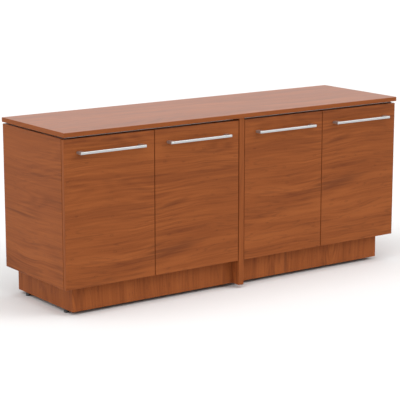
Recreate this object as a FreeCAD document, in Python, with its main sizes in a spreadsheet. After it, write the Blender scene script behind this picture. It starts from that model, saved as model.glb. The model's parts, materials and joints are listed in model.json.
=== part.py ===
import FreeCAD, Part
import os
import re
import Sketcher
from FreeCAD import Vector

# Four-door office credenza: two door boxes on plinths, joined through a centre gable,
# under one floating worktop. The origin is at floor level, midway along the length and
# the depth. +X runs to the right seen from the front, +Y to the back, +Z up.

# Driving dimensions, in millimetres.
sizes = {
    # worktop and the shadow gap under it
    "topWidth": 1720,
    "topDepth": 495,
    "topThick": 19,
    "topSideOverhang": 3,
    "topFrontOverhang": 6.5,
    "topBackOverhang": 1,
    "revealHeight": 7,
    "spacerWidth": 40,
    # carcass
    "caseHeight": 601,
    "boardThick": 19,
    "backThick": 6,
    "rabbetWidth": 9,
    "housingDepth": 6,
    "housingStop": 20,
    "edgeBevel": 1,
    "shelfThick": 19,
    "shelfSetback": 34,
    "shelfLevel": 272,
    "shelfEndGap": 1,
    "shelfBackGap": 3,
    # centre gable
    "gableThick": 25.4,
    "gableProud": 2,
    # plinth and feet
    "plinthHeight": 107,
    "plinthSideInset": 55,
    "plinthFrontRecess": 47,
    "plinthBackInset": 2.5,
    "blockWidth": 32,
    "blockHeight": 60,
    "footHeight": 15,
    "footWidth": 21,
    "footInset": 64,
    "footChamfer": 1.5,
    "footPinWidth": 5,
    "footPinLength": 20,
    # doors
    "doorThick": 19,
    "doorGap": 3,
    "doorDrop": 2,
    "doorBackGap": 2.5,
    "bumperWidth": 8,
    "bumperThick": 2.2,
    "bumperInset": 24,
    # bow pulls
    "pullLength": 304,
    "pullHeight": 10,
    "pullStandoff": 33.5,
    "pullBarThick": 8,
    "pullLegWidth": 20,
    "pullInnerRadius": 9,
    "pullEdgeBevel": 1,
    "pullDrop": 54.6,
    "pullScrewWidth": 4,
    "pullScrewBite": 12,
    "screwHeadWidth": 8,
    "screwHeadHeight": 2.5,
    # wood screws and connecting bolts
    "holeFit": 0.1,
    "woodScrewWidth": 4,
    "woodScrewBite": 12,
    "plinthScrewBite": 24,
    "screwHoleWidth": 4.6,
    "holeExtra": 0.5,
    "cutExtra": 1,
    "boltWidth": 8,
    "boltHeadWidth": 15,
    "boltHeadHeight": 2,
    "boltInset": 110,
    "boltRise": 70,
    # shelf pins and their rows of holes
    "pinWidth": 5,
    "pinInHole": 9,
    "pinReach": 8,
    "pinCollarWidth": 9,
    "pinCollarThick": 0.8,
    "pinHoleDepth": 11,
    "pinPitch": 32,
    "pinRowInset": 60,
    # concealed hinges, measured from the door's hinge edge and its back face
    "hingeInset": 90,
    "cupCentre": 22.5,
    "cupWidth": 35,
    "cupDepth": 12,
    "cupWall": 0.8,
    "cupBoreExtra": 0.5,
    "flangeThick": 1,
    "flangeLength": 56,
    "flangeReach": 17,
    "armPivotX": 35,
    "armPivotY": 7,
    "cupPivotX": 13,
    "cupPivotY": 3,
    "kneeX": 16,
    "elbowX": 29,
    "kneeDepth": 9,
    "linkThick": 2,
    "linkWidth": 9.6,
    "linkHubWidth": 5.6,
    "hingePinWidth": 3,
    "hingePinFit": 0.05,
    "cupPinGap": 0.1,
    "armWidth": 14,
    "armSheet": 1.7,
    "armNoseRadius": 3.5,
    "armLength": 57,
    "armCheekDepth": 13.5,
    "armWindow": 14,
    "plateSystemLine": 37,
    "plateWingLength": 48,
    "plateWingWidth": 16,
    "plateWingThick": 2.5,
    "plateBossLength": 34,
    "plateBossShift": 1,
    "plateFit": 0.2,
}

# Places that follow from the driving dimensions. Each is the expression that the
# pieces which meet there share.
places = {
    "caseHalf": "topWidth / 2 - topSideOverhang",
    "gableHalf": "gableThick / 2",
    "boxMiddle": "-(caseHalf + gableHalf) / 2",
    "doorFace": "(pullStandoff + topFrontOverhang - topDepth) / 2",
    "doorBack": "doorFace + doorThick",
    "caseFront": "doorBack + doorBackGap",
    "caseBack": "doorFace - topFrontOverhang + topDepth - topBackOverhang",
    "panelBack": "caseBack - backThick",
    "caseBottom": "footHeight + plinthHeight",
    "caseTop": "caseBottom + caseHeight",
    "topUnder": "caseTop + revealHeight",
    "outerInside": "-caseHalf + boardThick",
    "innerInside": "-gableHalf - boardThick",
    "plinthFront": "doorFace + plinthFrontRecess",
    "plinthRailBack": "plinthFront + boardThick",
    "plinthBack": "caseBack - plinthBackInset",
    "plinthOuter": "-caseHalf + plinthSideInset",
    "doorEdge": "-caseHalf",
    "doorWidth": "(caseHalf - gableHalf - 2 * doorGap) / 2",
    "doorHeight": "caseHeight - doorDrop",
    "doorMirror": "-(caseHalf + gableHalf + doorGap) / 2",
    "pullLeft": "doorEdge + (doorWidth - pullLength) / 2",
    "pullMiddle": "caseTop - doorDrop - pullDrop",
    "shelfUnder": "caseBottom + shelfLevel",
    "hingeSpacing": "doorHeight - 2 * hingeInset",
    "hingeLow": "caseBottom + hingeInset",
    "cupInside": "cupWidth / 2 - cupWall",
    "plateLine": "doorBackGap + plateSystemLine",
    "armWeb": "armPivotX + armNoseRadius",
    "armBack": "armPivotY + armLength",
    "outerSeat": "boardThick",
    "innerSeat": "boardThick - doorGap",
    "housingFront": "caseFront + housingStop",
    "frontPins": "caseFront + pinRowInset",
    "backPins": "caseBack - pinRowInset",
    "frontBolt": "caseFront + boltInset",
    "backBolt": "caseBack - boltInset",
    "frontScrew": "caseFront + spacerWidth / 2",
    "backScrew": "panelBack - spacerWidth / 2",
    "outerScrew": "outerInside + spacerWidth / 2",
    "innerScrew": "innerInside - spacerWidth / 2",
    "blockOuter": "plinthOuter + boardThick + blockWidth / 2",
    "blockInner": "innerInside - blockWidth / 2",
    "blockFront": "plinthRailBack + blockWidth / 2",
    "blockBack": "plinthBack - boardThick - blockWidth / 2",
    "pullScrewOuter": "pullLeft + pullLegWidth / 2",
    "pullScrewInner": "pullLeft + pullLength - pullLegWidth / 2",
}

doc = FreeCAD.newDocument("Credenza")
sheet = doc.addObject("Spreadsheet::Sheet", "Sizes")
for row, (alias, value) in enumerate(sizes.items(), start=1):
    sheet.set(f"A{row}", alias)
    sheet.set(f"B{row}", str(value))
    sheet.setAlias(f"B{row}", alias)
doc.recompute()

# a property bound to whatever has to be known as a number while the model is drawn
ruler = doc.addObject("App::FeaturePython", "Ruler")
ruler.addProperty("App::PropertyFloat", "reading")

nodes = {}
tolerance = 0.01
shankSides, headSides, pinSides, footSides = 6, 8, 8, 16
hingeCorner = ("doorEdge", "doorBack", "hingeLow")


def ex(words):
    # writes each size as a reference to the sheet, and each place in full
    def swap(match):
        word = match.group(0)
        if word in places:
            return "(" + ex(places[word]) + ")"
        return "Sizes." + word if word in sizes else word
    return re.sub(r"[A-Za-z]\w*", swap, str(words))


def number(words):
    ruler.setExpression("reading", ex(words))
    ruler.recompute()
    return ruler.reading


def keep(label, thing):
    # a finished sub-part, which gets a file of its own
    thing.Label = label
    nodes[label] = thing


def originItem(body, role):
    return [item for item in body.Origin.OriginFeatures if item.Role == role][0]


def newBody(name, corner=("0", "0", "0")):
    body = doc.addObject("PartDesign::Body", name)
    body.AllowCompound = True
    for axis, place in zip("xyz", corner):
        body.setExpression("Placement.Base." + axis, ex(place))
    return body


def newSketch(body, name, role, level="0"):
    # a sketch on one of the body's origin planes, moved along the plane's normal
    sketch = body.newObject("Sketcher::SketchObject", name)
    sketch.AttachmentSupport = (originItem(body, role), [""])
    sketch.MapMode = "FlatFace"
    sketch.setExpression("AttachmentOffset.Base.z", ex(level))
    return sketch


def bind(sketch, *wanted):
    # adds constraints, each a kind, the size that it follows and what it holds
    made = sketch.addConstraint([Sketcher.Constraint(kind, *held, number(words))
                                 for kind, words, *held in wanted])
    for index, (kind, words, *held) in zip(made, wanted):
        name = f"{kind}{index}"
        sketch.renameConstraint(index, name)
        sketch.setExpression("Constraints." + name, ex(words))


def pinned(item, end, across, up):
    # the two constraints that hold a point at its place from the sketch's origin
    return ("DistanceX", across, -1, 1, item, end), ("DistanceY", up, -1, 1, item, end)


def addOutline(sketch, corners):
    # straight lines round the corners, each corner tied to its own two sizes
    spots = [Vector(number(across), number(up), 0) for across, up in corners]
    lines = sketch.addGeometry([Part.LineSegment(start, end)
                                for start, end in zip(spots, spots[1:] + spots[:1])])
    lines = list(lines)
    sketch.addConstraint([Sketcher.Constraint("Coincident", first, 2, second, 1)
                          for first, second in zip(lines, lines[1:] + lines[:1])])
    bind(sketch, *[held for line, corner in zip(lines, corners)
                   for held in pinned(line, 1, *corner)])


def addRectangle(sketch, left, low, right, high):
    addOutline(sketch, [(left, low), (right, low), (right, high), (left, high)])


def addCircle(sketch, across, up, width):
    middle = Vector(number(across), number(up), 0)
    circle = Part.Circle(middle, Vector(0, 0, 1), number(width) / 2)
    item = sketch.addGeometry(circle)
    bind(sketch, *pinned(item, 3, across, up), ("Diameter", width, item))


def addRound(sketch, across, up, width, sides, hole=False):
    # small round things that repeat have few faces: a regular polygon just inside the
    # true circle on a shaft, and just outside it on a hole
    reach = f"({width}) / 2" + (f" / cos({180 / sides})" if hole else "")
    turns = [360 * step / sides for step in range(sides)]
    addOutline(sketch, [(f"{across} + {reach} * cos({turn})", f"{up} + {reach} * sin({turn})")
                        for turn in turns])


def addPad(body, sketch, length, midplane=False, reverse=False):
    pad = body.newObject("PartDesign::Pad", sketch.Name + "Pad")
    pad.Profile = sketch
    pad.setExpression("Length", ex(length))
    pad.SideType = "Symmetric" if midplane else "One side"
    pad.Reversed = reverse
    body.Tip = pad
    doc.recompute()
    return pad


def addPocket(body, sketch, depth=None, midplane=False):
    # a cut to a depth, or right through; it is turned if it points away from the solid
    before = body.Shape.Volume
    pocket = body.newObject("PartDesign::Pocket", sketch.Name + "Pocket")
    pocket.Profile = sketch
    if depth is None:
        pocket.Type = "ThroughAll"
    else:
        pocket.setExpression("Length", ex(depth))
    pocket.SideType = "Symmetric" if midplane else "One side"
    body.Tip = pocket
    doc.recompute()
    if body.Shape.isNull() or before - body.Shape.Volume < tolerance:
        pocket.Reversed = True
        doc.recompute()
    if before - body.Shape.Volume < tolerance:
        raise RuntimeError(f"{pocket.Name} cuts nothing")
    return pocket


def addPattern(body, features, role, spacing, count=2):
    pattern = body.newObject("PartDesign::LinearPattern", body.Name + "Row")
    pattern.Originals = features
    pattern.Direction = (originItem(body, role), [""])
    pattern.setExpression("Length", ex(f"({spacing}) * {count - 1}"))
    pattern.Occurrences = count
    body.Tip = pattern
    doc.recompute()


def easeEdges(body, kind, size, chosen=None):
    # a fillet or chamfer on every edge of the solid so far, or on those that the test picks
    ease = body.newObject("PartDesign::" + kind, body.Name + kind)
    base = ease.BaseFeature
    names = [f"Edge{place}" for place, edge in enumerate(base.Shape.Edges, start=1)
             if chosen is None or chosen(edge)]
    ease.Base = (base, names)
    ease.setExpression("Radius" if kind == "Fillet" else "Size", ex(size))
    body.Tip = ease
    doc.recompute()


def drill(body, name, role, level, spots, width, depth=None, sides=shankSides):
    sketch = newSketch(body, name, role, level)
    for across, up in spots:
        if sides:
            addRound(sketch, across, up, width, sides, hole=True)
        else:
            addCircle(sketch, across, up, width)
    return addPocket(body, sketch, depth)


def mirror(name, source, place="0", axis="x"):
    copy = doc.addObject("Part::Mirroring", name)
    copy.Source = source
    copy.Normal = Vector(axis == "x", axis == "y", 0)
    copy.setExpression("Base." + axis, ex(place))
    return copy


def group(label, *things):
    compound = doc.addObject("Part::Compound", label)
    compound.Links = list(things)
    keep(label, compound)


def board(name, low, high, eased=False):
    # a rectangular board between two opposite corners
    body = newBody(name, low)
    outline = newSketch(body, name + "Outline", "XY_Plane")
    wide, deep, tall = [f"({b}) - ({a})" for a, b in zip(low, high)]
    addRectangle(outline, "0", "0", wide, deep)
    addPad(body, outline, tall)
    if eased:
        easeEdges(body, "Chamfer", "edgeBevel")
    return body


def grid(acrosses, ups):
    return [(across, up) for across in acrosses for up in ups]


# where the fasteners of the left box stand
topScrews = grid(("outerScrew", "innerScrew"), ("frontScrew", "backScrew"))
plinthScrews = grid(("blockOuter", "blockInner"), ("blockFront", "blockBack"))
gableBolts = grid(("frontBolt", "backBolt"), ("caseBottom + boltRise", "caseTop - boltRise"))


def makeWorktop():
    front = "doorFace - topFrontOverhang"
    top = board("worktop", ("-topWidth / 2", front, "topUnder"),
                ("topWidth / 2", front + " + topDepth", "topUnder + topThick"), eased=True)
    spots = [(f"topWidth / 2 + ({side}) * ({across})", f"{deep} - ({front})")
             for side in (1, -1) for across, deep in topScrews]
    drill(top, "topPilots", "XY_Plane", "0", spots, "woodScrewWidth", "woodScrewBite + holeExtra")
    keep("worktop", top)


def makeRevealSpacers():
    # flat bars on the sub-top, set in from every edge, that carry the floating worktop
    bars = {
        "Front": ("outerInside", "caseFront", "innerInside", "caseFront + spacerWidth"),
        "Back": ("outerInside", "panelBack - spacerWidth", "innerInside", "panelBack"),
        "Outer": ("outerInside", "caseFront + spacerWidth",
                  "outerInside + spacerWidth", "panelBack - spacerWidth"),
        "Inner": ("innerInside - spacerWidth", "caseFront + spacerWidth",
                  "innerInside", "panelBack - spacerWidth"),
    }
    left = []
    for name, (x0, y0, x1, y1) in bars.items():
        bar = board("spacer" + name, (x0, y0, "caseTop"), (x1, y1, "topUnder"))
        if name in ("Front", "Back"):
            line = "frontScrew" if name == "Front" else "backScrew"
            spots = [(f"{x} - ({x0})", f"{line} - ({y0})") for x in ("outerScrew", "innerScrew")]
            drill(bar, f"spacer{name}Holes", "XY_Plane", "0", spots, "screwHoleWidth")
        left.append(bar)
    right = [mirror(bar.Name + "Right", bar) for bar in left]
    group("reveal_spacers", *left, *right)


def makeGable():
    front = "doorFace - gableProud"
    gable = board("centreGable", ("-gableHalf", front, "footHeight"),
                  ("gableHalf", "caseBack", "topUnder"), eased=True)
    spots = [(f"{deep} - ({front})", f"{level} - footHeight") for deep, level in gableBolts]
    drill(gable, "gableBoltHoles", "YZ_Plane", "0", spots, "boltWidth + holeFit")
    keep("centre_gable", gable)


def fitSide(side, name, inside):
    # rebates for the back and for the ends of the bottom and the sub-top, and rows of
    # shelf pin holes, all worked from the panel's inside face
    rabbet = newSketch(side, name + "Rabbet", "XY_Plane")
    edge = f"{inside} - rabbetWidth" if inside != "0" else "0"
    addRectangle(rabbet, edge, "panelBack - caseFront",
                 f"{edge} + rabbetWidth", "caseBack - caseFront")
    addPocket(side, rabbet)
    housings = newSketch(side, name + "Housings", "YZ_Plane", inside)
    for low, high in (("0", "boardThick"), ("caseHeight - boardThick", "caseHeight")):
        addRectangle(housings, "housingStop", low, "panelBack - caseFront", high)
    addPocket(side, housings, "housingDepth")
    pinLevel = "shelfLevel - pinWidth / 2 - pinPitch"
    row = [(f"{line} - caseFront", pinLevel) for line in ("frontPins", "backPins")]
    first = drill(side, name + "Pins", "YZ_Plane", inside, row,
                  "pinWidth + holeFit", "pinHoleDepth")
    addPattern(side, [first], "Z_Axis", "pinPitch", 3)


def makeSides():
    end = board("leftEndPanel", ("-caseHalf", "caseFront", "caseBottom"),
                ("outerInside", "caseBack", "caseTop"), eased=True)
    fitSide(end, "endPanel", "boardThick")
    keep("left_end_panel", end)
    keep("right_end_panel", mirror("rightEndPanel", end))
    side = board("leftInnerSide", ("innerInside", "caseFront", "caseBottom"),
                 ("-gableHalf", "caseBack", "caseTop"))
    fitSide(side, "innerSide", "0")
    spots = [(f"{deep} - caseFront", f"{level} - caseBottom") for deep, level in gableBolts]
    drill(side, "sideBoltHoles", "YZ_Plane", "0", spots, "boltWidth + holeFit")
    keep("left_inner_side", side)
    keep("right_inner_side", mirror("rightInnerSide", side))


def housedPanel(name, level):
    # a horizontal panel let into both sides, its tongues stopped short of the front edge
    panel = newBody(name, ("0", "0", level))
    plan = newSketch(panel, name + "Plan", "XY_Plane")
    left, right = "outerInside - housingDepth", "innerInside + housingDepth"
    addOutline(plan, [("outerInside", "caseFront"), ("innerInside", "caseFront"),
                      ("innerInside", "housingFront"), (right, "housingFront"),
                      (right, "panelBack"), (left, "panelBack"),
                      (left, "housingFront"), ("outerInside", "housingFront")])
    addPad(panel, plan, "boardThick")
    return panel


def makeShelvesAndPanels():
    bottom = housedPanel("leftBottomPanel", "caseBottom")
    drill(bottom, "plinthScrewHoles", "XY_Plane", "0", plinthScrews, "screwHoleWidth")
    roof = housedPanel("leftSubTop", "caseTop - boardThick")
    drill(roof, "topScrewHoles", "XY_Plane", "0", topScrews, "screwHoleWidth")
    back = board("leftBackPanel", ("outerInside - rabbetWidth", "panelBack", "caseBottom"),
                 ("innerInside + rabbetWidth", "caseBack", "caseTop"))
    shelf = board("leftShelf",
                  ("outerInside + shelfEndGap", "caseFront + shelfSetback", "shelfUnder"),
                  ("innerInside - shelfEndGap", "panelBack - shelfBackGap",
                   "shelfUnder + shelfThick"))
    easeEdges(shelf, "Chamfer", "edgeBevel",
              lambda edge: all(abs(corner.Y) < tolerance for corner in edge.Vertexes))
    for name, piece in (("bottom_panel", bottom), ("sub_top", roof),
                        ("back_panel", back), ("shelf", shelf)):
        keep("left_" + name, piece)
        keep("right_" + name, mirror(piece.Name + "Right", piece))


def makePlinths():
    rail = {
        "plinth_front": (("plinthOuter", "plinthFront"), ("-gableHalf", "plinthRailBack")),
        "plinth_outer_side": (("plinthOuter", "plinthRailBack"),
                              ("plinthOuter + boardThick", "plinthBack")),
        "plinth_inner_side": (("innerInside", "plinthRailBack"), ("-gableHalf", "plinthBack")),
        "plinth_back": (("plinthOuter + boardThick", "plinthBack - boardThick"),
                        ("innerInside", "plinthBack")),
    }
    for name, (low, high) in rail.items():
        piece = board("left_" + name, (*low, "footHeight"), (*high, "caseBottom"))
        if name.endswith("side"):
            spots = [("boardThick / 2", f"{line} - ({low[1]})")
                     for line in ("plinthFront + footInset", "plinthBack - footInset")]
            drill(piece, name + "FootHoles", "XY_Plane", "0", spots,
                  "footPinWidth + holeFit", "footPinLength + holeExtra")
        keep("left_" + name, piece)
        keep("right_" + name, mirror("right_" + name + "_copy", piece))


def makeCornerBlocks():
    blocks = newBody("cornerBlocks", ("0", "0", "caseBottom - blockHeight"))
    plan = newSketch(blocks, "blockPlan", "XY_Plane")
    for x, y in plinthScrews:
        addRectangle(plan, f"{x} - blockWidth / 2", f"{y} - blockWidth / 2",
                     f"{x} + blockWidth / 2", f"{y} + blockWidth / 2")
    addPad(blocks, plan, "blockHeight")
    drill(blocks, "blockPilots", "XY_Plane", "blockHeight", plinthScrews,
          "woodScrewWidth", "plinthScrewBite + holeExtra")
    group("plinth_corner_blocks", blocks, mirror("cornerBlocksRight", blocks))


def makeFeet():
    # plastic feet with a pin that is driven up into the plinth's side rails
    feet = newBody("feet", ("plinthOuter + boardThick / 2", "plinthFront + footInset", "0"))
    stub = newSketch(feet, "footStub", "XY_Plane")
    addRound(stub, "0", "0", "footWidth", footSides)
    addPad(feet, stub, "footHeight")
    easeEdges(feet, "Chamfer", "footChamfer",
              lambda edge: all(abs(corner.Z) < tolerance for corner in edge.Vertexes))
    pin = newSketch(feet, "footPin", "XY_Plane", "footHeight")
    addRound(pin, "0", "0", "footPinWidth", shankSides)
    addPad(feet, pin, "footPinLength")
    rear = mirror("feetRear", feet, "(plinthFront + plinthBack) / 2", axis="y")
    outer = doc.addObject("Part::Compound", "feetOuter")
    outer.Links = [feet, rear]
    inner = mirror("feetInner", outer, "(plinthOuter - gableHalf) / 2")
    group("plinth_feet", outer, inner, mirror("feetRight", outer), mirror("feetInnerRight", inner))


def makeShelfPins():
    pins = newBody("shelfPins", ("outerInside", "0", "shelfUnder - pinWidth / 2"))
    stems = newSketch(pins, "pinStems", "YZ_Plane", "-pinInHole")
    collars = newSketch(pins, "pinCollars", "YZ_Plane", "0")
    for line in ("frontPins", "backPins"):
        addRound(stems, line, "0", "pinWidth", shankSides)
        addRound(collars, line, "0", "pinCollarWidth", headSides)
    addPad(pins, stems, "pinInHole + pinReach")
    addPad(pins, collars, "pinCollarThick")
    far = mirror("shelfPinsFar", pins, "boxMiddle")
    group("shelf_pins", pins, far, mirror("shelfPinsRight", pins), mirror("shelfPinsFarRight", far))


def makeScrews(label, spots, head, tip, headDown):
    # pan-head screws in one pattern: the head lies against the board at the given level
    screws = newBody(label + "Left", ("0", "0", head))
    heads = newSketch(screws, label + "Heads", "XY_Plane")
    shanks = newSketch(screws, label + "Shanks", "XY_Plane")
    for across, up in spots:
        addRound(heads, across, up, "screwHeadWidth", headSides)
        addRound(shanks, across, up, "woodScrewWidth", shankSides)
    addPad(screws, heads, "screwHeadHeight", reverse=headDown)
    length = f"({tip}) - ({head})" if headDown else f"({head}) - ({tip})"
    addPad(screws, shanks, length, reverse=not headDown)
    group(label, screws, mirror(label + "Right", screws))


def makeGableBolts():
    # connecting bolts that draw both boxes against the gable
    bolts = newBody("gableBolts")
    shafts = newSketch(bolts, "boltShafts", "YZ_Plane")
    heads = newSketch(bolts, "boltHeads", "YZ_Plane", "-innerInside")
    tails = newSketch(bolts, "boltTails", "YZ_Plane", "innerInside")
    for deep, level in gableBolts:
        addRound(shafts, deep, level, "boltWidth", shankSides)
        addRound(heads, deep, level, "boltHeadWidth", headSides)
        addRound(tails, deep, level, "boltHeadWidth", headSides)
    addPad(bolts, shafts, "-2 * (innerInside)", midplane=True)
    addPad(bolts, heads, "boltHeadHeight")
    addPad(bolts, tails, "boltHeadHeight", reverse=True)
    keep("gable_bolts", bolts)


def makeBumpers():
    bumpers = newBody("bumpers", ("doorMirror", "caseFront", "0"))
    dots = newSketch(bumpers, "bumperDots", "XZ_Plane")
    for across in ("bumperInset", "-bumperInset"):
        for level in ("caseBottom + boardThick / 2", "caseTop - boardThick / 2"):
            addRound(dots, across, level, "bumperWidth", headSides)
    addPad(bumpers, dots, "bumperThick")
    group("door_bumpers", bumpers, mirror("bumpersRight", bumpers))


def keepDoorPiece(name, piece):
    # the second door mirrors the first within its box, and the right box mirrors the left
    second = mirror("door2_" + name, piece, "doorMirror")
    keep("door_1_" + name, piece)
    keep("door_2_" + name, second)
    keep("door_3_" + name, mirror("door3_" + name, second))
    keep("door_4_" + name, mirror("door4_" + name, piece))


def makeDoorPanel():
    corner = ("doorEdge", "doorFace", "caseBottom")
    door = board("doorPanel", corner,
                 ("doorEdge + doorWidth", "doorBack", "caseTop - doorDrop"), eased=True)
    levels = ("hingeInset", "hingeInset + hingeSpacing")
    cups = [("cupCentre", level) for level in levels]
    drill(door, "cupBores", "XZ_Plane", "-doorThick", cups,
          "cupWidth + holeFit", "cupDepth + cupBoreExtra", sides=None)
    pulls = [(f"{x} - (doorEdge)", "pullMiddle - caseBottom")
             for x in ("pullScrewOuter", "pullScrewInner")]
    drill(door, "pullHoles", "XZ_Plane", "-doorThick", pulls, "screwHoleWidth")
    keepDoorPiece("panel", door)


def makePull():
    # a bow pull cut from flat bar, its legs flush with the ends of the grip
    pull = newBody("pull", ("pullLeft", "doorFace", "pullMiddle"))
    bow = newSketch(pull, "pullBow", "XY_Plane")
    addRectangle(bow, "0", "-pullStandoff", "pullLength", "0")
    addPad(pull, bow, "pullHeight", midplane=True)
    gap = newSketch(pull, "pullGap", "XY_Plane")
    addRectangle(gap, "pullLegWidth", "-pullStandoff + pullBarThick",
                 "pullLength - pullLegWidth", "cutExtra")
    addPocket(pull, gap, "pullHeight + 2 * cutExtra", midplane=True)

    def liesAt(edge, place):
        return all(abs(corner.Y - number(place)) < tolerance for corner in edge.Vertexes)

    def isUpright(edge):
        return abs(edge.Vertexes[0].Z - edge.Vertexes[-1].Z) > tolerance

    easeEdges(pull, "Fillet", "pullInnerRadius",
              lambda edge: liesAt(edge, "pullBarThick - pullStandoff") and isUpright(edge))
    easeEdges(pull, "Chamfer", "pullEdgeBevel", lambda edge: liesAt(edge, "-pullStandoff"))
    legs = [("pullLegWidth / 2", "0"), ("pullLength - pullLegWidth / 2", "0")]
    drill(pull, "pullThreads", "XZ_Plane", "0", legs, "pullScrewWidth", "pullScrewBite + holeExtra")
    keepDoorPiece("pull", pull)
    screws = newBody("pullScrews", ("0", "doorBack", "pullMiddle"))
    heads = newSketch(screws, "pullScrewHeads", "XZ_Plane")
    shanks = newSketch(screws, "pullScrewShanks", "XZ_Plane")
    for x in ("pullScrewOuter", "pullScrewInner"):
        addRound(heads, x, "0", "screwHeadWidth", headSides)
        addRound(shanks, x, "0", "pullScrewWidth", shankSides)
    addPad(screws, heads, "screwHeadHeight", reverse=True)
    addPad(screws, shanks, "doorThick + pullScrewBite")
    keepDoorPiece("pull_screws", screws)


def makeHingeCups():
    # a pressed steel cup with a flange on the side away from the door's edge
    cup = newBody("hingeCups", hingeCorner)
    drum = newSketch(cup, "cupDrum", "XZ_Plane")
    addCircle(drum, "cupCentre", "0", "cupWidth")
    parts = [addPad(cup, drum, "cupDepth")]
    flange = newSketch(cup, "cupFlange", "XZ_Plane")
    addRectangle(flange, "cupCentre", "-flangeLength / 2",
                 "cupCentre + flangeReach", "flangeLength / 2")
    parts.append(addPad(cup, flange, "flangeThick", reverse=True))
    hollow = newSketch(cup, "cupHollow", "XZ_Plane", "-flangeThick - cutExtra")
    addCircle(hollow, "cupCentre", "0", "2 * cupInside")
    parts.append(addPocket(cup, hollow, "cupDepth - cupWall + flangeThick + cutExtra"))
    addPattern(cup, parts, "Z_Axis", "hingeSpacing")
    keepDoorPiece("hinge_cups", cup)
    pin = newBody("cupPins", hingeCorner)
    rod = newSketch(pin, "cupPinRod", "XY_Plane")
    addRound(rod, "cupPivotX", "-cupPivotY", "hingePinWidth", pinSides)
    reach = "(cupCentre - cupPivotX + hingePinWidth / 2)"
    chord = f"2 * sqrt(cupInside ^ 2 - {reach} ^ 2) - 2 * cupPinGap"
    row = addPad(pin, rod, chord, midplane=True)
    addPattern(pin, [row], "Z_Axis", "hingeSpacing")
    keepDoorPiece("cup_pins", pin)


def stripOutline(path, half):
    # both sides of a bent strip: each corner is the path's corner moved along its mitre
    def side(sign):
        corners = []
        for place, (x, y) in enumerate(path):
            before = path[max(place - 1, 0)]
            after = path[min(place + 1, len(path) - 1)]
            here = path[place]
            first = before if before != here else None
            last = after if after != here else None
            corners.append(mitre(first, here, last, half, sign))
        return corners
    return side(1) + side(-1)[::-1]


def direction(start, end):
    dx = f"(({end[0]}) - ({start[0]}))"
    dy = f"(({end[1]}) - ({start[1]}))"
    length = f"sqrt({dx} ^ 2 + {dy} ^ 2)"
    return f"({dx} / {length})", f"({dy} / {length})"


def mitre(first, here, last, half, sign):
    one = direction(first or here, here if first else last)
    two = direction(here if last else first, last or here)
    # the normals of both runs, and their sum scaled so that each side stays parallel
    scale = f"(({sign}) * ({half}) / (1 + {one[0]} * {two[0]} + {one[1]} * {two[1]}))"
    across = f"({here[0]}) - ({one[1]} + {two[1]}) * {scale}"
    up = f"({here[1]}) + ({one[0]} + {two[0]}) * {scale}"
    return across, up


def makeHingeLinks():
    # the cranked link: out of the cup, round the door's edge when open, to the arm
    link = newBody("hingeLinks", hingeCorner)
    path = [("cupPivotX", "-cupPivotY"), ("kneeX", "-kneeDepth"),
            ("elbowX", "-kneeDepth"), ("armPivotX", "armPivotY")]
    strip = newSketch(link, "linkStrip", "XY_Plane")
    addOutline(strip, stripOutline(path, "linkThick / 2"))
    parts = [addPad(link, strip, "linkWidth", midplane=True)]
    hubs = newSketch(link, "linkHubs", "XY_Plane")
    for across, up in (path[0], path[-1]):
        addRound(hubs, across, up, "linkHubWidth", pinSides)
    parts.append(addPad(link, hubs, "linkWidth", midplane=True))
    eyes = newSketch(link, "linkEyes", "XY_Plane", "-linkWidth")
    for across, up in (path[0], path[-1]):
        addRound(eyes, across, up, "hingePinWidth + 2 * hingePinFit", pinSides, hole=True)
    parts.append(addPocket(link, eyes, "2 * linkWidth"))
    addPattern(link, parts, "Z_Axis", "hingeSpacing")
    keepDoorPiece("hinge_links", link)


def makeHingeArms():
    # channel-shaped arms: two cheeks and a web, open at the nose where the link swings
    arm = newBody("hingeArms", hingeCorner)
    cheek = newSketch(arm, "armCheek", "XY_Plane")
    root = "armWeb - armCheekDepth"
    nose = "armPivotX - armNoseRadius"
    addOutline(cheek, [(nose, "armPivotY"), ("armPivotX", "armPivotY - armNoseRadius"),
                       ("armWeb", "armPivotY"), ("armWeb", "armBack"), (root, "armBack"),
                       (root, "plateLine - plateBossLength / 2")])
    parts = [addPad(arm, cheek, "armWidth", midplane=True)]
    nosePad = newSketch(arm, "armNose", "XY_Plane")
    addRound(nosePad, "armPivotX", "armPivotY", "2 * armNoseRadius", pinSides)
    parts.append(addPad(arm, nosePad, "armWidth", midplane=True))
    inside = newSketch(arm, "armInside", "XY_Plane")
    addOutline(inside, [(f"{root} - cutExtra", "0"), ("armWeb + cutExtra", "0"),
                        ("armWeb + cutExtra", "armPivotY + armWindow"),
                        ("armWeb - armSheet", "armPivotY + armWindow"),
                        ("armWeb - armSheet", "armBack + cutExtra"),
                        (f"{root} - cutExtra", "armBack + cutExtra")])
    parts.append(addPocket(arm, inside, "armWidth - 2 * armSheet", midplane=True))
    eyes = newSketch(arm, "armEyes", "XY_Plane", "-armWidth")
    addRound(eyes, "armPivotX", "armPivotY", "hingePinWidth", pinSides, hole=True)
    parts.append(addPocket(arm, eyes, "2 * armWidth"))
    addPattern(arm, parts, "Z_Axis", "hingeSpacing")
    groupHinges("hinge_arms", arm)
    pin = newBody("armPins", hingeCorner)
    rod = newSketch(pin, "armPinRod", "XY_Plane")
    addRound(rod, "armPivotX", "armPivotY", "hingePinWidth", pinSides)
    row = addPad(pin, rod, "armWidth", midplane=True)
    addPattern(pin, [row], "Z_Axis", "hingeSpacing")
    groupHinges("hinge_arm_pins", pin)


def groupHinges(label, outer, inner=None):
    inner = inner or outer
    second = mirror(label + "Inner", inner, "doorMirror")
    group(label, outer, second, mirror(label + "OuterRight", outer),
          mirror(label + "InnerRight", second))


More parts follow.
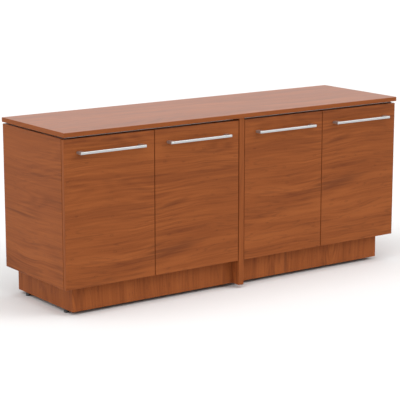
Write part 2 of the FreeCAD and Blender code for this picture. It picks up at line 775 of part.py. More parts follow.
def makeHingePlates():
    # wing plates that the arms slide over; those at the gable are thicker by the doors' gap
    plates = {}
    for name, seat in (("outer", "outerSeat"), ("inner", "innerSeat")):
        plate = newBody(name + "Plates", hingeCorner)
        wings = newSketch(plate, name + "Wings", "YZ_Plane", seat)
        addRectangle(wings, "plateLine - plateWingWidth / 2", "-plateWingLength / 2",
                     "plateLine + plateWingWidth / 2", "plateWingLength / 2")
        thick = f"outerSeat - ({seat}) + plateWingThick"
        parts = [addPad(plate, wings, thick)]
        boss = newSketch(plate, name + "Boss", "YZ_Plane", seat)
        half = "(armWidth / 2 - armSheet - plateFit)"
        addRectangle(boss, "plateLine + plateBossShift - plateBossLength / 2", f"-{half}",
                     "plateLine + plateBossShift + plateBossLength / 2", half)
        parts.append(addPad(plate, boss, f"armWeb - armSheet - plateFit - ({seat})"))
        addPattern(plate, parts, "Z_Axis", "hingeSpacing")
        plates[name] = plate
    groupHinges("hinge_plates", plates["outer"], plates["inner"])


makeWorktop()
makeRevealSpacers()
makeGable()
makeSides()
makeShelvesAndPanels()
makePlinths()
makeCornerBlocks()
makeFeet()
makeShelfPins()
makeScrews("worktop_screws", topScrews, "caseTop - boardThick",
           "topUnder + woodScrewBite", headDown=True)
makeScrews("plinth_screws", plinthScrews, "caseBottom + boardThick",
           "caseBottom - plinthScrewBite", headDown=False)
makeGableBolts()
makeBumpers()
makeDoorPanel()
makePull()
makeHingeCups()
makeHingeLinks()
makeHingeArms()
makeHingePlates()
doc.recompute()

for thing in doc.Objects:
    if "Invalid" in thing.State or "Error" in thing.State:
        raise RuntimeError(f"{thing.Name} did not build: {thing.State}")
for label, thing in nodes.items():
    if thing.Shape.isNull() or not thing.Shape.isValid():
        raise RuntimeError(f"{label} has no valid shape")

os.makedirs("parts", exist_ok=True)
for label, thing in nodes.items():
    thing.Shape.exportStep(f"parts/{label}.step")
    print(f"{label}: {len(thing.Shape.Solids)} solids, {thing.Shape.Volume / 1000:.1f} cm3")
print(len(nodes), "sub-parts written")
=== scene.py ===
import json
from math import cos, pi, radians, sin

import bmesh
import bpy
from mathutils import Matrix, Vector


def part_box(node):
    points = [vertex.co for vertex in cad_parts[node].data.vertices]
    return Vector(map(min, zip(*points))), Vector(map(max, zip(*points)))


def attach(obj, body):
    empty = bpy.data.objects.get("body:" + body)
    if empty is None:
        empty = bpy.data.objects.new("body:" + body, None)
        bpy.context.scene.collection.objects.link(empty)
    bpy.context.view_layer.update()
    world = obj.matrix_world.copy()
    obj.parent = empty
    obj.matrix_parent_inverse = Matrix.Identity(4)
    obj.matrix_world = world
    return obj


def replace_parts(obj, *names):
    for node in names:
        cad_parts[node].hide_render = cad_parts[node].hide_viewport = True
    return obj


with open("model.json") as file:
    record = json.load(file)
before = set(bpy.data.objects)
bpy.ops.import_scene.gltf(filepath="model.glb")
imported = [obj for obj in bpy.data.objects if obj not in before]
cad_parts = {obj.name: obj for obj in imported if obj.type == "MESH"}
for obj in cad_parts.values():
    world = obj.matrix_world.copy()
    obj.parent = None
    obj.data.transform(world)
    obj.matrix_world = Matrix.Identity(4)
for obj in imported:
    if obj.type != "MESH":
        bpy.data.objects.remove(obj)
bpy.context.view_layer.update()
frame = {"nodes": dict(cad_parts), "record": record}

nodes = frame["nodes"]
record = frame["record"]
slotOf = {part["node"]: part["material_slot"] for part in record["subparts"]}
bodyOf = {node: body for body, held in record["behaviour"]["bodies"].items() for node in held}
# 1 where a door lies to the right of its hinges, -1 where it lies to the left
hingeTurn = {"door_1": 1, "door_2": -1, "door_3": 1, "door_4": -1}
doors = tuple(hingeTurn)
axes = {"x": 0, "y": 1, "z": 2}
up = (0, 0, 1)
scene = bpy.context.scene


# shader building

def newMaterial(name, settings):
    material = bpy.data.materials.new(name)
    material.use_nodes = True
    shader = material.node_tree.nodes["Principled BSDF"]
    for key, value in settings.items():
        shader.inputs[key].default_value = value
    return material, material.node_tree, shader


def addNode(tree, kind, inputs=None, **settings):
    node = tree.nodes.new("ShaderNode" + kind)
    for key, value in settings.items():
        setattr(node, key, value)
    for key, value in (inputs or {}).items():
        if isinstance(value, bpy.types.NodeSocket):
            tree.links.new(value, node.inputs[key])
        else:
            node.inputs[key].default_value = value
    return node


def calc(tree, operation, first, second=0.0, third=0.0, clamp=False):
    node = addNode(tree, "Math", {0: first, 1: second, 2: third}, operation=operation)
    node.use_clamp = clamp
    return node.outputs[0]


def step(tree, value, low, high):
    # 0 at low, 1 at high and a smooth rise between them
    node = addNode(tree, "MapRange", {"Value": value, "From Min": low, "From Max": high},
                   interpolation_type="SMOOTHSTEP")
    return node.outputs["Result"]


def blendColour(tree, factor, first, second, blend="MIX"):
    # a Mix node takes its two colours at sockets 6 and 7 and gives the blend at output 2
    node = addNode(tree, "Mix", {0: factor, 6: first, 7: second}, data_type="RGBA",
                   blend_type=blend)
    return node.outputs[2]


def noise(tree, vector, scale, detail, roughness):
    node = addNode(tree, "TexNoise", {"Vector": vector, "Scale": scale, "Detail": detail,
                                      "Roughness": roughness})
    return node.outputs["Fac"]


def addBump(tree, shader, height, strength, distance):
    bump = addNode(tree, "Bump", {"Height": height, "Strength": strength, "Distance": distance})
    tree.links.new(bump.outputs["Normal"], shader.inputs["Normal"])


# cherry laminate

cherry = {
    "dark": (0.165, 0.045, 0.016, 1),
    "middle": (0.258, 0.074, 0.022, 1),
    "light": (0.342, 0.103, 0.029, 1),
    "glow": (0.322, 0.096, 0.028, 1),
    "mark": (0.66, 0.68, 0.82, 1),         # what the dark marks multiply by
    "calm": 0.4,                           # the share of the bends that the fine lines follow
    "rough": 0.5,                          # the roughness of a layer's noise, unless it says its own
    "lineGather": (0.9, 0.45),             # how much stronger lines are in the patches, and all over
    "streakGather": (0.75, 0.25),
    "strandRise": (0.07, -0.07),           # the flames break into strands along the dark lines
    "strandGather": (0.7, 0.3),
    "boldBelow": (0.50, 0.22),             # the figure grows bold between these levels, in metres
    "roughnessSwing": 0.12,
    "relief": (0.12, 0.0004),              # strength and depth of the fibres
}
# The layers of the figure. Cells are to the metre, along and across the grain; slice gives each
# layer a part of the noise for itself; rise is where a layer fades in.
layers = {
    # bends, with their strength in metres
    "swing": {"cells": (1.5, 2.4), "slice": 0.0, "detail": 1.0, "strength": 0.060},
    "ripple": {"cells": (4.0, 7.0), "slice": 3.1, "detail": 1.0, "strength": 0.012},
    "shiver": {"cells": (12.0, 24.0), "slice": 5.3, "detail": 1.0, "strength": 0.0030},
    # dark and light wood; the hills bend the rings, of which so many go to the metre
    "bands": {"cells": (1.0, 11.0), "slice": 0.0, "detail": 2.0, "strength": 0.80},
    "lines": {"cells": (2.4, 78.0), "slice": 4.2, "detail": 3.0, "strength": 0.85, "rough": 0.62},
    "fibres": {"cells": (6.0, 240.0), "slice": 6.5, "detail": 2.0, "strength": 0.80},
    "hills": {"cells": (1.3, 8.0), "slice": 7.7, "detail": 1.0, "strength": 15.0},
    "rings": {"count": 34.0, "strength": 0.12},
    # where lines, rings and streaks gather
    "patches": {"cells": (1.9, 6.5), "slice": 8.8, "detail": 2.0, "rise": (-0.06, 0.14)},
    # pale arches
    "glow": {"cells": (1.2, 16.0), "slice": 11.3, "detail": 3.0, "strength": 0.65,
             "rise": (0.02, 0.22)},
    # dark marks: lens-shaped streaks, long flames, and thin lines that close into arches
    "streaks": {"cells": (4.2, 40.0), "slice": 1.9, "detail": 3.0, "strength": 0.80,
                "rise": (0.06, 0.22)},
    "flames": {"cells": (1.4, 14.0), "slice": 2.6, "detail": 3.0, "strength": 0.85,
               "rise": (0.06, 0.24)},
    "veins": {"cells": (1.9, 27.0), "slice": 13.7, "detail": 2.5, "strength": 0.34,
              "rise": (0.020, 0.004)},
    # flecks, and small ovals of rings. Size is how far from a cell's middle they fade out and in;
    # share is where the cell's chance, one of its random channels, lets them in.
    "flecks": {"cells": (26.0, 52.0), "slice": 0.4, "strength": 0.75, "size": (0.42, 0.10),
               "share": (0.86, 0.92), "channel": 0},
    "eyes": {"cells": (4.0, 10.0), "slice": 0.7, "strength": 0.85, "size": (0.36, 0.08),
             "share": (0.60, 0.72), "channel": 1, "rings": 7.0},
}


def placeCells(tree, along, across, layer, crowd=1.0):
    # crowd packs so many times more cells across the grain
    return addNode(tree, "CombineXYZ", {
        0: calc(tree, "MULTIPLY", along, layer["cells"][0]),
        1: calc(tree, "MULTIPLY", across, layer["cells"][1] * crowd),
        2: layer["slice"]}).outputs[0]


def grainNoise(tree, along, across, name, crowd=1.0):
    # a layer's noise, from about -0.5 to 0.5
    layer = layers[name]
    spot = placeCells(tree, along, across, layer, crowd)
    value = noise(tree, spot, 1.0, layer["detail"], layer.get("rough", cherry["rough"]))
    return calc(tree, "SUBTRACT", value, 0.5)


def fadeIn(tree, along, across, name, crowd=1.0):
    return step(tree, grainNoise(tree, along, across, name, crowd), *layers[name]["rise"])


def scatterSpots(tree, along, across, name):
    # soft spots in some cells, and how far away the middle of the cell is
    layer = layers[name]
    cells = addNode(tree, "TexVoronoi", {"Vector": placeCells(tree, along, across, layer)})
    away = cells.outputs["Distance"]
    parts = addNode(tree, "SeparateColor", {0: cells.outputs["Color"]})
    chance = parts.outputs[layer["channel"]]
    spots = calc(tree, "MULTIPLY", step(tree, away, *layer["size"]),
                 step(tree, chance, *layer["share"]))
    return spots, away


def bendGrain(tree, along, across):
    # levels across the grain that swing slowly with a quicker ripple: fully, and calmed for lines
    level = calm = across
    for name in ("swing", "ripple", "shiver"):
        wave = grainNoise(tree, along, across, name)
        reach = 2 * layers[name]["strength"]
        level = calc(tree, "MULTIPLY_ADD", wave, reach, level)
        calm = calc(tree, "MULTIPLY_ADD", wave, reach * cherry["calm"], calm)
    return level, calm


def growRings(tree, along, level):
    # parallel lines that close round the hills of a broad noise
    hills = grainNoise(tree, along, level, "hills")
    phase = calc(tree, "MULTIPLY_ADD", hills, layers["hills"]["strength"],
                 calc(tree, "MULTIPLY", level, layers["rings"]["count"]))
    return calc(tree, "SINE", calc(tree, "MULTIPLY", phase, 2 * pi))


def woodColour(tree, tone):
    # dark at 0, middle at a half and light at 1
    lower = blendColour(tree, calc(tree, "MULTIPLY", tone, 2.0, clamp=True),
                        cherry["dark"], cherry["middle"])
    upper = calc(tree, "MULTIPLY_ADD", tone, 2.0, -1.0, clamp=True)
    return blendColour(tree, upper, lower, cherry["light"])


def darkMarks(tree, along, level, lines, patches, boldness, look):
    # how dark the streaks, flames, veins, flecks and eyes make each point
    streaks = calc(tree, "MULTIPLY", fadeIn(tree, along, level, "streaks"),
                   calc(tree, "MULTIPLY_ADD", patches, *cherry["streakGather"]))
    strands = calc(tree, "MULTIPLY_ADD", step(tree, lines, *cherry["strandRise"]),
                   *cherry["strandGather"])
    flames = fadeIn(tree, along, level, "flames", look["bandCount"])
    flames = calc(tree, "MULTIPLY", calc(tree, "MULTIPLY", flames, strands), boldness)
    crossing = calc(tree, "ABSOLUTE", grainNoise(tree, along, level, "veins"))
    veins = calc(tree, "MULTIPLY", step(tree, crossing, *layers["veins"]["rise"]), boldness)
    flecks = scatterSpots(tree, along, level, "flecks")[0]
    spots, away = scatterSpots(tree, along, level, "eyes")
    rings = calc(tree, "SINE", calc(tree, "MULTIPLY", away, 2 * pi * layers["eyes"]["rings"]))
    eyes = calc(tree, "MULTIPLY", calc(tree, "MULTIPLY_ADD", rings, 0.5, 0.5), spots)
    marks = calc(tree, "MULTIPLY", streaks, layers["streaks"]["strength"] * look["lineDepth"])
    for name, kind in (("flecks", flecks), ("flames", flames), ("veins", veins), ("eyes", eyes)):
        strong = calc(tree, "MULTIPLY", kind, layers[name]["strength"])
        marks = calc(tree, "MAXIMUM", strong, marks)
    return calc(tree, "MULTIPLY", marks, look["figure"], clamp=True)


def makeLaminate(name, look):
    material, tree, shader = newMaterial(name, {"Specular IOR Level": look["gloss"]})
    sheet = addNode(tree, "UVMap", uv_map="grain").outputs[0]
    split = addNode(tree, "SeparateXYZ", {0: sheet})
    along, across = split.outputs[0], split.outputs[1]
    level, calm = bendGrain(tree, along, across)

    # the tone of the wood
    patches = fadeIn(tree, along, level, "patches")
    bands = grainNoise(tree, along, level, "bands", look["bandCount"])
    lines = calc(tree, "MULTIPLY", grainNoise(tree, along, calm, "lines"),
                 calc(tree, "MULTIPLY_ADD", patches, *cherry["lineGather"]))
    rings = calc(tree, "MULTIPLY", growRings(tree, along, level), patches)
    fibres = grainNoise(tree, along, calm, "fibres")
    tone = 0.5
    for key, layer, depth in (("bands", bands, 1), ("lines", lines, look["lineDepth"]),
                              ("rings", rings, 1), ("fibres", fibres, 1)):
        strength = layers[key]["strength"] * look["figure"] * depth
        tone = calc(tree, "MULTIPLY_ADD", layer, strength, tone)
    colour = woodColour(tree, tone)

    # pale arches and dark marks over it
    boldness = calc(tree, "MULTIPLY_ADD", step(tree, across, *cherry["boldBelow"]), look["bold"],
                    1 - look["bold"] / 2)
    glow = calc(tree, "MULTIPLY", fadeIn(tree, along, level, "glow"), boldness)
    glow = calc(tree, "MULTIPLY", glow, layers["glow"]["strength"] * look["figure"], clamp=True)
    colour = blendColour(tree, glow, colour, cherry["glow"])
    marks = darkMarks(tree, along, level, lines, patches, boldness, look)
    colour = blendColour(tree, marks, colour, cherry["mark"], blend="MULTIPLY")
    # painted light: the whole colour is multiplied by the look's factor, lighter above 1, standing
    # in for more light on the board
    paintedLight = (look["paintedLight"], look["paintedLight"], look["paintedLight"], 1)
    colour = blendColour(tree, 1.0, colour, paintedLight, blend="MULTIPLY")

    roughness = calc(tree, "MULTIPLY_ADD", fibres, cherry["roughnessSwing"], look["roughness"])
    tree.links.new(colour, shader.inputs["Base Color"])
    tree.links.new(roughness, shader.inputs["Roughness"])
    addBump(tree, shader, fibres, *cherry["relief"])
    return material


plainLaminate = {
    "figure": 1.0,              # how strong the whole figure is
    "lineDepth": 1.0,           # and its fine lines
    "bandCount": 1.0,           # how many times more bands and flames
    "bold": 0.0,                # how much bolder the figure is low down
    # painted light: a factor on the whole colour, lighter above 1
    "paintedLight": 1.0,
    "roughness": 0.38,
    "gloss": 0.04,
}
laminateLooks = {
    # painted light: the worktop is a little lighter for the light that falls on its top
    "worktopLaminate": {"figure": 1.25, "paintedLight": 1.04, "roughness": 0.45, "gloss": 1.0},
    "frontLaminate": {"bold": 0.8},
    "sideLaminate": {"figure": 0.85, "bold": 0.8},
    # painted light: the uprights are lighter to make up for the shade in the plinth's recess
    "uprightLaminate": {"figure": 1.1, "lineDepth": 0.35, "bandCount": 1.5, "paintedLight": 1.12},
    "insideLaminate": {"figure": 0.7, "roughness": 0.46},
    "edgeBand": {"figure": 0.5},
}
laminates = {name: makeLaminate(name, plainLaminate | look)
             for name, look in laminateLooks.items()}
print("cherry laminates ready")


# other finishes

# grain is cells to the metre along X, Y and Z, spread how far colour and roughness vary with it
finishes = {
    "pullSilver": {"colour": (0.50, 0.51, 0.515), "metal": 0.8, "roughness": 0.30,
                   "grain": (6, 900, 900), "spread": 0.10, "bump": 0.05},
    "hingeNickel": {"colour": (0.66, 0.64, 0.60), "metal": 1.0, "roughness": 0.26,
                    "grain": (300, 300, 300), "spread": 0.12, "bump": 0.03},
    "zincPlate": {"colour": (0.62, 0.64, 0.66), "metal": 1.0, "roughness": 0.38,
                  "grain": (160, 160, 160), "spread": 0.22, "bump": 0.03},
    "revealGrey": {"colour": (0.54, 0.58, 0.60), "metal": 0.4, "roughness": 0.42,
                   "grain": (12, 500, 500), "spread": 0.10, "bump": 0.03},
    "footBlack": {"colour": (0.013, 0.013, 0.014), "metal": 0.0, "roughness": 0.48,
                  "grain": (700, 700, 700), "spread": 0.12, "bump": 0.10},
    "bumperClear": {"colour": (0.78, 0.78, 0.75), "metal": 0.0, "roughness": 0.35,
                    "grain": (400, 400, 400), "spread": 0.08, "bump": 0.02},
    "hardboard": {"colour": (0.20, 0.078, 0.033), "metal": 0.0, "roughness": 0.72, "gloss": 0.2,
                  "grain": (150, 150, 420), "spread": 0.32, "bump": 0.20, "mottle": (14, 0.6)},
    "blockPine": {"colour": (0.60, 0.40, 0.22), "metal": 0.0, "roughness": 0.66,
                  "grain": (240, 240, 14), "spread": 0.14, "bump": 0.15},
}
# what a finish has unless it says otherwise
plainFinish = {
    "gloss": 0.5,
    "mottle": (9.0, 0.3),       # cells to the metre of a broad noise, and its share of the colour
    "fine": (3.0, 0.60),        # detail and roughness of each noise
    "broad": (4.0, 0.65),
    "relief": 0.0003,
}
# the finish of each of the record's slots that isn't laminate
finishForSlot = {
    "reveal_metal": "revealGrey",
    "pull_metal": "pullSilver",
    "hinge_steel": "hingeNickel",
    "zinc_steel": "zincPlate",
    "foot_plastic": "footBlack",
    "bumper_rubber": "bumperClear",
    "back_board": "hardboard",
    "block_wood": "blockPine",
}


def makeFinish(name, look):
    # colour, roughness and relief all vary with one stretched noise, and colour with a broad one
    material, tree, shader = newMaterial(name, {"Metallic": look["metal"],
                                                "Specular IOR Level": look["gloss"]})
    place = addNode(tree, "TexCoord").outputs["Object"]
    stretched = addNode(tree, "Mapping", {"Vector": place, "Scale": look["grain"]}).outputs[0]
    cells, share = look["mottle"]
    fine = noise(tree, stretched, 1.0, *look["fine"])
    broad = noise(tree, place, cells, *look["broad"])
    deep = [part * (1 - look["spread"]) for part in look["colour"]] + [1]
    pale = [min(part * (1 + look["spread"]), 1) for part in look["colour"]] + [1]
    shift = calc(tree, "MULTIPLY_ADD", broad, share, calc(tree, "MULTIPLY", fine, 1 - share))
    rough = calc(tree, "MULTIPLY_ADD", calc(tree, "SUBTRACT", fine, 0.5), look["spread"],
                 look["roughness"])
    tree.links.new(blendColour(tree, shift, deep, pale), shader.inputs["Base Color"])
    tree.links.new(rough, shader.inputs["Roughness"])
    addBump(tree, shader, fine, look["bump"], look["relief"])
    return material


surfaces = {name: makeFinish(name, plainFinish | look) for name, look in finishes.items()}
for node, slotName in slotOf.items():
    if slotName in finishForSlot:
        nodes[node].data.materials.clear()
        nodes[node].data.materials.append(surfaces[finishForSlot[slotName]])
print("plain finishes ready")


# making pieces

making = {
    "mergeWithin": 0.00002,     # metres, for the corners of a node's triangles
    "closeWithin": 0.000002,    # and for the poles of a turned shape
    "flatWithin": 0.5,          # degrees
    "sharpAbove": 35,
    "softenAbove": 30,
}


def copyNode(node):
    # the node's shape as one closed mesh, its flat faces made whole again
    mesh = bmesh.new()
    mesh.from_mesh(nodes[node].data)
    bmesh.ops.remove_doubles(mesh, verts=mesh.verts, dist=making["mergeWithin"])
    bmesh.ops.dissolve_limit(mesh, angle_limit=radians(making["flatWithin"]), verts=mesh.verts,
                             edges=mesh.edges)
    return mesh


def finishPiece(name, mesh, node, materials):
    # makes the mesh a piece that rides as the node does
    data = bpy.data.meshes.new(name)
    for face in mesh.faces:
        face.smooth = True
    mesh.to_mesh(data)
    mesh.free()
    data.set_sharp_from_angle(angle=radians(making["sharpAbove"]))
    for material in materials:
        data.materials.append(material)
    piece = bpy.data.objects.new(name, data)
    scene.collection.objects.link(piece)
    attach(piece, bodyOf[node])
    return piece


def softenEdges(piece, width, segments):
    bevel = piece.modifiers.new("softEdges", "BEVEL")
    bevel.width = width
    bevel.segments = segments
    bevel.limit_method = "ANGLE"
    bevel.angle_limit = radians(making["softenAbove"])
    bevel.harden_normals = True


# boards

board = {
    "edgeSoftness": 0.0004,
    "edgeSteps": 2,
    "doorShift": (0.0, 0.0),               # where each face lies on the figure, in metres
    "rightDoorShift": (-0.8727, -0.18),    # the same figure again, and higher up
    "sideShift": (3.4, 0.05),
    "topShift": (5.1, 1.4),
}
# for each board: its grain's axis, its thin axis, its face's laminate and place on the figure
boards = {
    "worktop": ("x", "z", "worktopLaminate", board["topShift"]),
    "centre_gable": ("z", "x", "uprightLaminate", (0.4, 3.0)),
}
for side, away in (("left", 0.0), ("right", 7.0)):
    boards[side + "_end_panel"] = ("y", "x", "sideLaminate", board["sideShift"])
    boards[side + "_inner_side"] = ("y", "x", "insideLaminate", (away, 4.0))
    boards[side + "_bottom_panel"] = ("x", "z", "insideLaminate", (away, 5.0))
    boards[side + "_sub_top"] = ("x", "z", "insideLaminate", (away, 6.0))
    boards[side + "_shelf"] = ("x", "z", "insideLaminate", (away, 7.0))
    boards[side + "_plinth_front"] = ("z", "y", "uprightLaminate", (away, 0.0))
    boards[side + "_plinth_back"] = ("z", "y", "uprightLaminate", (away, 1.0))
    boards[side + "_plinth_outer_side"] = ("z", "x", "uprightLaminate", (away, 2.0))
    boards[side + "_plinth_inner_side"] = ("z", "x", "uprightLaminate", (away, 3.3))
for door in doors:
    shift = board["doorShift"] if door in ("door_1", "door_2") else board["rightDoorShift"]
    boards[door + "_panel"] = ("x", "y", "frontLaminate", shift)


def layGrain(mesh, grain, thin, shift):
    # spreads each side out in metres with u along the grain, and tells the faces from the edges
    layer = mesh.loops.layers.uv.new("grain")
    across = 3 - grain - thin
    ways = {thin: (grain, across), across: (grain, thin), grain: (across, thin)}
    for face in mesh.faces:
        facing = max(range(3), key=lambda axis: abs(face.normal[axis]))
        u, v = ways[facing]
        for loop in face.loops:
            loop[layer].uv = (loop.vert.co[u] + shift[0], loop.vert.co[v] + shift[1])
        face.material_index = 0 if facing == thin else 1


def makeBoard(node, grain, thin, laminate, shift):
    mesh = copyNode(node)
    layGrain(mesh, axes[grain], axes[thin], shift)
    piece = finishPiece(node + "_laminated", mesh, node,
                        [laminates[laminate], laminates["edgeBand"]])
    softenEdges(piece, board["edgeSoftness"], board["edgeSteps"])
    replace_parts(piece, node)


for node, (grain, thin, laminate, shift) in boards.items():
    makeBoard(node, grain, thin, laminate, shift)
print("boards laminated:", len(boards))


# hinges and pulls, which keep their shape, with their sharp edges eased

hinge = {
    "edgeSoftness": 0.0003,
    "edgeSteps": 2,
    "flangeThick": 0.001,
    "flangeCorner": 0.005,
    "outerWing": 0.0025,        # how thick the wings of the plates on the end panels are
    "innerWing": 0.0055,        # and on the inner sides
    "wingCorner": 0.004,
}
pull = {"edgeSoftness": 0.0006, "edgeSteps": 3}
rounding = {
    "matchWithin": 0.00005,     # how nearly a corner's edge must be as long as the plate is thick
    "squareAbove": 88,          # degrees that a square corner turns
    "steps": 6,
}


def roundCorners(mesh, axis, thick, radius):
    # rounds the square corners of a flat plate that is thick along the axis
    picked = []
    for edge in mesh.edges:
        run = edge.verts[1].co - edge.verts[0].co
        misfit = max(abs(run.length - thick), abs(abs(run[axis]) - thick))
        if misfit < rounding["matchWithin"]:
            if edge.calc_face_angle_signed() > radians(rounding["squareAbove"]):
                picked.append(edge)
    bmesh.ops.bevel(mesh, geom=picked, offset=radius, offset_type="OFFSET", affect="EDGES",
                    segments=rounding["steps"], profile=0.5, material=-1)


def easeNode(node, ending, finish, look, corners=()):
    mesh = copyNode(node)
    for axis, thick, radius in corners:
        roundCorners(mesh, axes[axis], thick, radius)
    piece = finishPiece(node + ending, mesh, node, [surfaces[finish]])
    softenEdges(piece, look["edgeSoftness"], look["edgeSteps"])
    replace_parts(piece, node)


flangeCorners = [("y", hinge["flangeThick"], hinge["flangeCorner"])]
wingCorners = [("x", hinge[wing], hinge["wingCorner"]) for wing in ("outerWing", "innerWing")]
easeNode("hinge_plates", "_nickel", "hingeNickel", hinge, wingCorners)
easeNode("hinge_arms", "_nickel", "hingeNickel", hinge)
for door in doors:
    easeNode(door + "_hinge_cups", "_nickel", "hingeNickel", hinge, flangeCorners)
    easeNode(door + "_hinge_links", "_nickel", "hingeNickel", hinge)
    easeNode(door + "_pull", "_satin", "pullSilver", pull)
print("hinges and pulls eased")


# small turned things

# how far each door box's middle is from the middle of the whole
boxMiddle = abs(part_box("left_shelf")[0][0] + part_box("left_shelf")[1][0]) / 2


def findIslands(node):
    # the lowest and highest corner of each separate solid of a node
    mesh = copyNode(node)
    waiting = set(mesh.verts)
    found = []
    while waiting:
        reached = [waiting.pop()]
        for vert in reached:
            for edge in vert.link_edges:
                other = edge.other_vert(vert)
                if other in waiting:
                    waiting.discard(other)
                    reached.append(other)
        found.append([Vector([pick(vert.co[axis] for vert in reached) for axis in range(3)])
                      for pick in (min, max)])
    mesh.free()
    return sorted(found, key=lambda box: [round(place, 4) for place in box[0]])


def faceIn(low, high):
    # whether a solid is on an end panel, and the way along X from its side into the box
    onEnd = abs(low.x + high.x) / 2 > boxMiddle
    return onEnd, 1 if onEnd == (low.x < 0) else -1


def turnProfile(profile, steps):
    # spins pairs of radius and level round the Z axis
    mesh = bmesh.new()
    verts = [mesh.verts.new((radius, 0, level)) for radius, level in profile]
    edges = [mesh.edges.new(pair) for pair in zip(verts, verts[1:])]
    bmesh.ops.spin(mesh, geom=verts + edges, cent=(0, 0, 0), axis=up, angle=2 * pi,
                   steps=steps, use_merge=True)
    bmesh.ops.remove_doubles(mesh, verts=mesh.verts, dist=making["closeWithin"])
    bmesh.ops.recalc_face_normals(mesh, faces=mesh.faces)
    return mesh


def addCopy(target, item, place, way):
    # adds a copy of the item with its own Z turned to point the given way
    turn = Vector(up).rotation_difference(Vector(way)).to_matrix().to_4x4()
    data = bpy.data.meshes.new("copy")
    item.to_mesh(data)
    data.transform(Matrix.Translation(place) @ turn)
    target.from_mesh(data)
    bpy.data.meshes.remove(data)


def replaceSolids(node, ending, finish, turnItems):
    # turnItems gives the items for one solid, each with its place and way
    mesh = bmesh.new()
    for low, high in findIslands(node):
        for item, place, way in turnItems(low, high):
            addCopy(mesh, item, place, way)
            item.free()
    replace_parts(finishPiece(node + ending, mesh, node, [surfaces[finish]]), node)


foot = {
    "steps": 40,
    "flareHeight": 0.34,        # of the glide below the plinth
    "flare": ((0.84, 1.7), (0.93, 1.15), (1.0, 0.9)),    # shares of its radius and of the flare
    "pin": 0.24,                # of the radius
    "pinTip": (0.7, 0.4),       # width and height of its cone, as shares of the pin's radius
    "edge": 0.0011,
}


def turnFoot(low, high):
    # a glide with a wider sole and a pin up into the plinth's side rail
    radius = (high.x - low.x) / 2
    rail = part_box("left_plinth_outer_side")[0][2]
    pin, flare = radius * foot["pin"], rail * foot["flareHeight"]
    tipWide, tipHigh = [pin * share for share in foot["pinTip"]]
    skirt = [(radius * wide, flare * tall) for wide, tall in foot["flare"]]
    glide = turnProfile([(0, high.z), (tipWide, high.z), (pin, high.z - tipHigh), (pin, rail),
                         (skirt[0][0], rail), *skirt, (radius, foot["edge"]),
                         (radius - foot["edge"], 0), (0, 0)], foot["steps"])
    return [(glide, ((low.x + high.x) / 2, (low.y + high.y) / 2, 0), up)]


# the dome's points are shares of the bumper's radius and height
bumper = {"steps": 28, "dome": ((1.0, 0.35), (0.86, 0.72), (0.55, 0.93))}


def turnBumper(low, high):
    radius, height = (high.x - low.x) / 2, high.y - low.y
    dome = [(radius * wide, height * tall) for wide, tall in bumper["dome"]]
    item = turnProfile([(0, 0), (radius, 0), *dome, (0, height)], bumper["steps"])
    return [(item, ((low.x + high.x) / 2, high.y, (low.z + high.z) / 2), (0, -1, 0))]


shelfPin = {"steps": 24, "width": 0.005, "inHole": 0.009, "collarThick": 0.0008, "edge": 0.0005}


def turnShelfPin(low, high):
    # a plain pin with a round collar against the side that it is pushed into
    stem, collar, length = shelfPin["width"] / 2, (high.z - low.z) / 2, high.x - low.x
    edge, inHole = shelfPin["edge"], shelfPin["inHole"]
    face = inHole + shelfPin["collarThick"]
    pin = turnProfile([(0, 0), (stem - edge, 0), (stem, edge), (stem, inHole), (collar, inHole),
                       (collar, face - edge / 2), (collar - edge / 2, face), (stem, face),
                       (stem, length - edge), (stem - edge, length), (0, length)],
                      shelfPin["steps"])
    way = faceIn(low, high)[1]
    place = (low + high) / 2
    place.x = low.x if way > 0 else high.x
    return [(pin, place, (way, 0, 0))]


hingePin = {"steps": 20, "edge": 0.0003}


def turnHingePin(low, high):
    # an upright pin with eased ends
    radius, half, edge = (high.x - low.x) / 2, (high.z - low.z) / 2, hingePin["edge"]
    pin = turnProfile([(0, half), (radius - edge, half), (radius, half - edge),
                       (radius, edge - half), (radius - edge, -half), (0, -half)],
                      hingePin["steps"])
    return [(pin, (low + high) / 2, up)]


replaceSolids("plinth_feet", "_turned", "footBlack", turnFoot)
replaceSolids("door_bumpers", "_domed", "bumperClear", turnBumper)
replaceSolids("shelf_pins", "_turned", "hingeNickel", turnShelfPin)
replaceSolids("hinge_arm_pins", "_turned", "hingeNickel", turnHingePin)
for door in doors:
    replaceSolids(door + "_cup_pins", "_turned", "hingeNickel", turnHingePin)
print("feet, bumpers and pins turned")


# screws and bolts

# head and shank are diameters; sides is 4 for a cross recess and 6 for a hexagon
fasteners = {
    "wood": {"head": 0.008, "height": 0.0025, "shank": 0.004, "tip": 0.006, "sides": 4},
    "machine": {"head": 0.008, "height": 0.0025, "shank": 0.004, "tip": 0.0008, "sides": 4},
    "bolt": {"head": 0.015, "height": 0.002, "shank": 0.008, "tip": 0.0008, "sides": 6},
    "hinge": {"head": 0.0064, "height": 0.0012, "shank": 0.0032, "tip": 0.002, "sides": 4},
    "back": {"head": 0.0060, "height": 0.0009, "shank": 0.0030, "tip": 0.003, "sides": 4},
}
fastenerHead = {
    "steps": 20,
    "dome": ((0.62, 1.0), (0.86, 0.84), (0.97, 0.5)),    # shares of its radius and height
    "rim": 0.0001,              # the height of its upright rim
    "under": 0.98,              # shares of its radius: the underside and the recess
    "recess": 0.46,
    "crossArm": 0.26,           # half a cross's arm, as a share of the recess's radius
    "recessDepth": 0.7,         # of the height
    "recessFloor": 0.8,         # of the recess's size at the top
    "point": 0.25,              # the shank's end, as a share of its radius
}


def recessOutline(radius, sides, level):
    # a cross for a screwdriver, or a hexagon for a key
    if sides == 6:
        return [(radius * cos(pi * turn / 3), radius * sin(pi * turn / 3), level)
                for turn in range(6)]
    half = radius * fastenerHead["crossArm"]
    arm = [(radius, -half), (radius, half), (half, half)]
    outline = []
    for turn in range(4):
        outline += [(x, y, level) for x, y in arm]
        arm = [(-y, x) for x, y in arm]
    return outline


